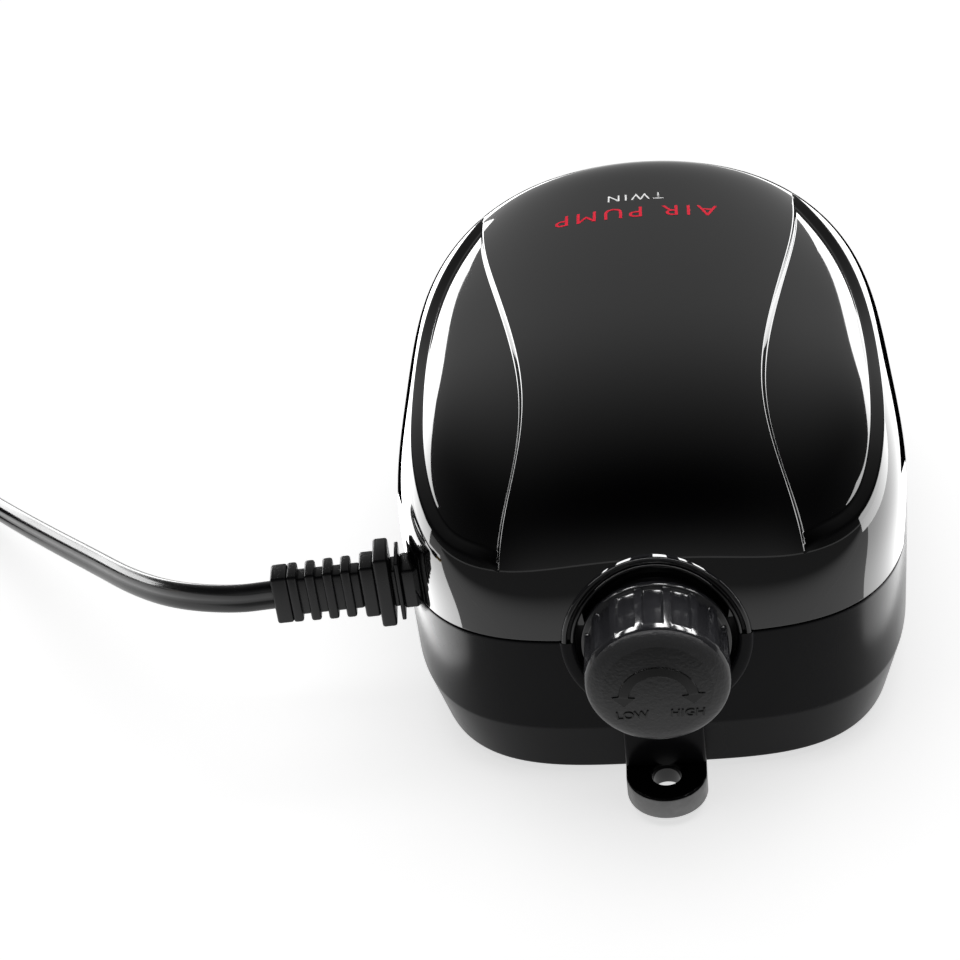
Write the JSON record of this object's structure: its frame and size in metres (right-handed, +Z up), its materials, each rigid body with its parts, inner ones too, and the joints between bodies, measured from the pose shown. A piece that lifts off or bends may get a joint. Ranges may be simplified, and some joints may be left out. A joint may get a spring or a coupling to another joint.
{
  "type": "aquarium air pump",
  "caption": "Domed mains-powered diaphragm air pump with a front dial, hanging tab, rear air outlets and a flat cord.",
  "frame": {"origin": "on the floor under the middle of the case, between the dial's face and the outlet tips", "axes": "+Z up, -Y towards the dial and hanging tab, +Y towards the air outlets, +X to the right seen from the front"},
  "size_m": [0.2964, 0.161, 0.0705],
  "materials": {
    "gloss_black_plastic": "glossy injection-moulded black ABS",
    "satin_black_plastic": "semi-gloss injection-moulded black ABS",
    "dial_plastic": "glossy sides with a fine-grained face",
    "black_rubber": "moulded matt rubber",
    "cord_pvc": "smooth semi-gloss PVC",
    "felt": "pressed felt",
    "zinc_steel": "zinc-plated steel",
    "lamination_steel": "stamped silicon steel",
    "copper": "enamelled copper wire",
    "natural_nylon": "unfilled nylon",
    "grey_plastic": "moulded grey plastic",
    "arm_aluminium": "stamped aluminium",
    "ferrite": "ground ferrite",
    "board_laminate": "green circuit laminate",
    "capacitor_case": "moulded capacitor case",
    "silicone": "translucent silicone",
    "brass_blade": "stamped brass"
  },
  "bodies": {
    "root": {"air_tube_left": "silicone", "air_tube_right": "silicone", "arm_bracket_left": "zinc_steel", "arm_bracket_right": "zinc_steel", "base_housing": "satin_black_plastic", "case_screws": "zinc_steel", "chassis_plate": "grey_plastic", "circuit_board": "board_laminate", "coil_bobbin": "natural_nylon", "copper_winding": "copper", "cord_coil": "cord_pvc", "cord_tail": "cord_pvc", "core_laminations": "lamination_steel", "diaphragm_left": "black_rubber", "diaphragm_right": "black_rubber", "felt_filter": "felt", "film_capacitor": "capacitor_case", "filter_cover": "satin_black_plastic", "foot_front_left": "black_rubber", "foot_front_right": "black_rubber", "foot_rear_left": "black_rubber", "foot_rear_right": "black_rubber", "fuse_resistor": "natural_nylon", "head_gasket_left": "black_rubber", "head_gasket_right": "black_rubber", "head_screws_left": "zinc_steel", "head_screws_right": "zinc_steel", "manifold_left": "grey_plastic", "manifold_right": "grey_plastic", "outlet_nozzle_left": "satin_black_plastic", "outlet_nozzle_right": "satin_black_plastic", "pivot_pin_left": "zinc_steel", "pivot_pin_right": "zinc_steel", "plug_blades": "brass_blade", "plug_body": "cord_pvc", "power_cord": "cord_pvc", "retaining_plate_left": "zinc_steel", "retaining_plate_right": "zinc_steel", "rotary_control": "grey_plastic", "strain_relief": "black_rubber", "top_cover": "gloss_black_plastic", "triac": "zinc_steel", "valve_flaps_left": "black_rubber", "valve_flaps_right": "black_rubber", "valve_plate_left": "natural_nylon", "valve_plate_right": "natural_nylon", "vibration_mounts": "black_rubber"},
    "dial": {"control_knob": "dial_plastic", "control_shaft": "arm_aluminium"},
    "arm_left": {"armature_arm_left": "arm_aluminium", "magnet_left": "ferrite", "diaphragm_clamp_left": "natural_nylon", "diaphragm_screw_left": "zinc_steel"},
    "arm_right": {"armature_arm_right": "arm_aluminium", "magnet_right": "ferrite", "diaphragm_clamp_right": "natural_nylon", "diaphragm_screw_right": "zinc_steel"}
  },
  "joints": [
    {"name": "dial_turn", "type": "hinge", "parent": "root", "child": "dial", "pos_m": [0, -0.07, 0.0345], "axis": [0, 1, 0], "range_deg": [-135, 135]},
    {"name": "arm_swing_left", "type": "hinge", "parent": "root", "child": "arm_left", "pos_m": [-0.019, 0.042, 0.04465], "axis": [1, 0, 0], "range_deg": [-1.2, 1.2], "stiffness_Nm_per_rad": 5, "deforming": ["diaphragm_left"]},
    {"name": "arm_swing_right", "type": "hinge", "parent": "root", "child": "arm_right", "pos_m": [0.019, 0.042, 0.04465], "axis": [1, 0, 0], "range_deg": [-1.2, 1.2], "stiffness_Nm_per_rad": 5, "deforming": ["diaphragm_right"]}
  ],
  "couplings": [
    {"joint": "arm_swing_right", "follows": "arm_swing_left", "ratio": -1}
  ]
}
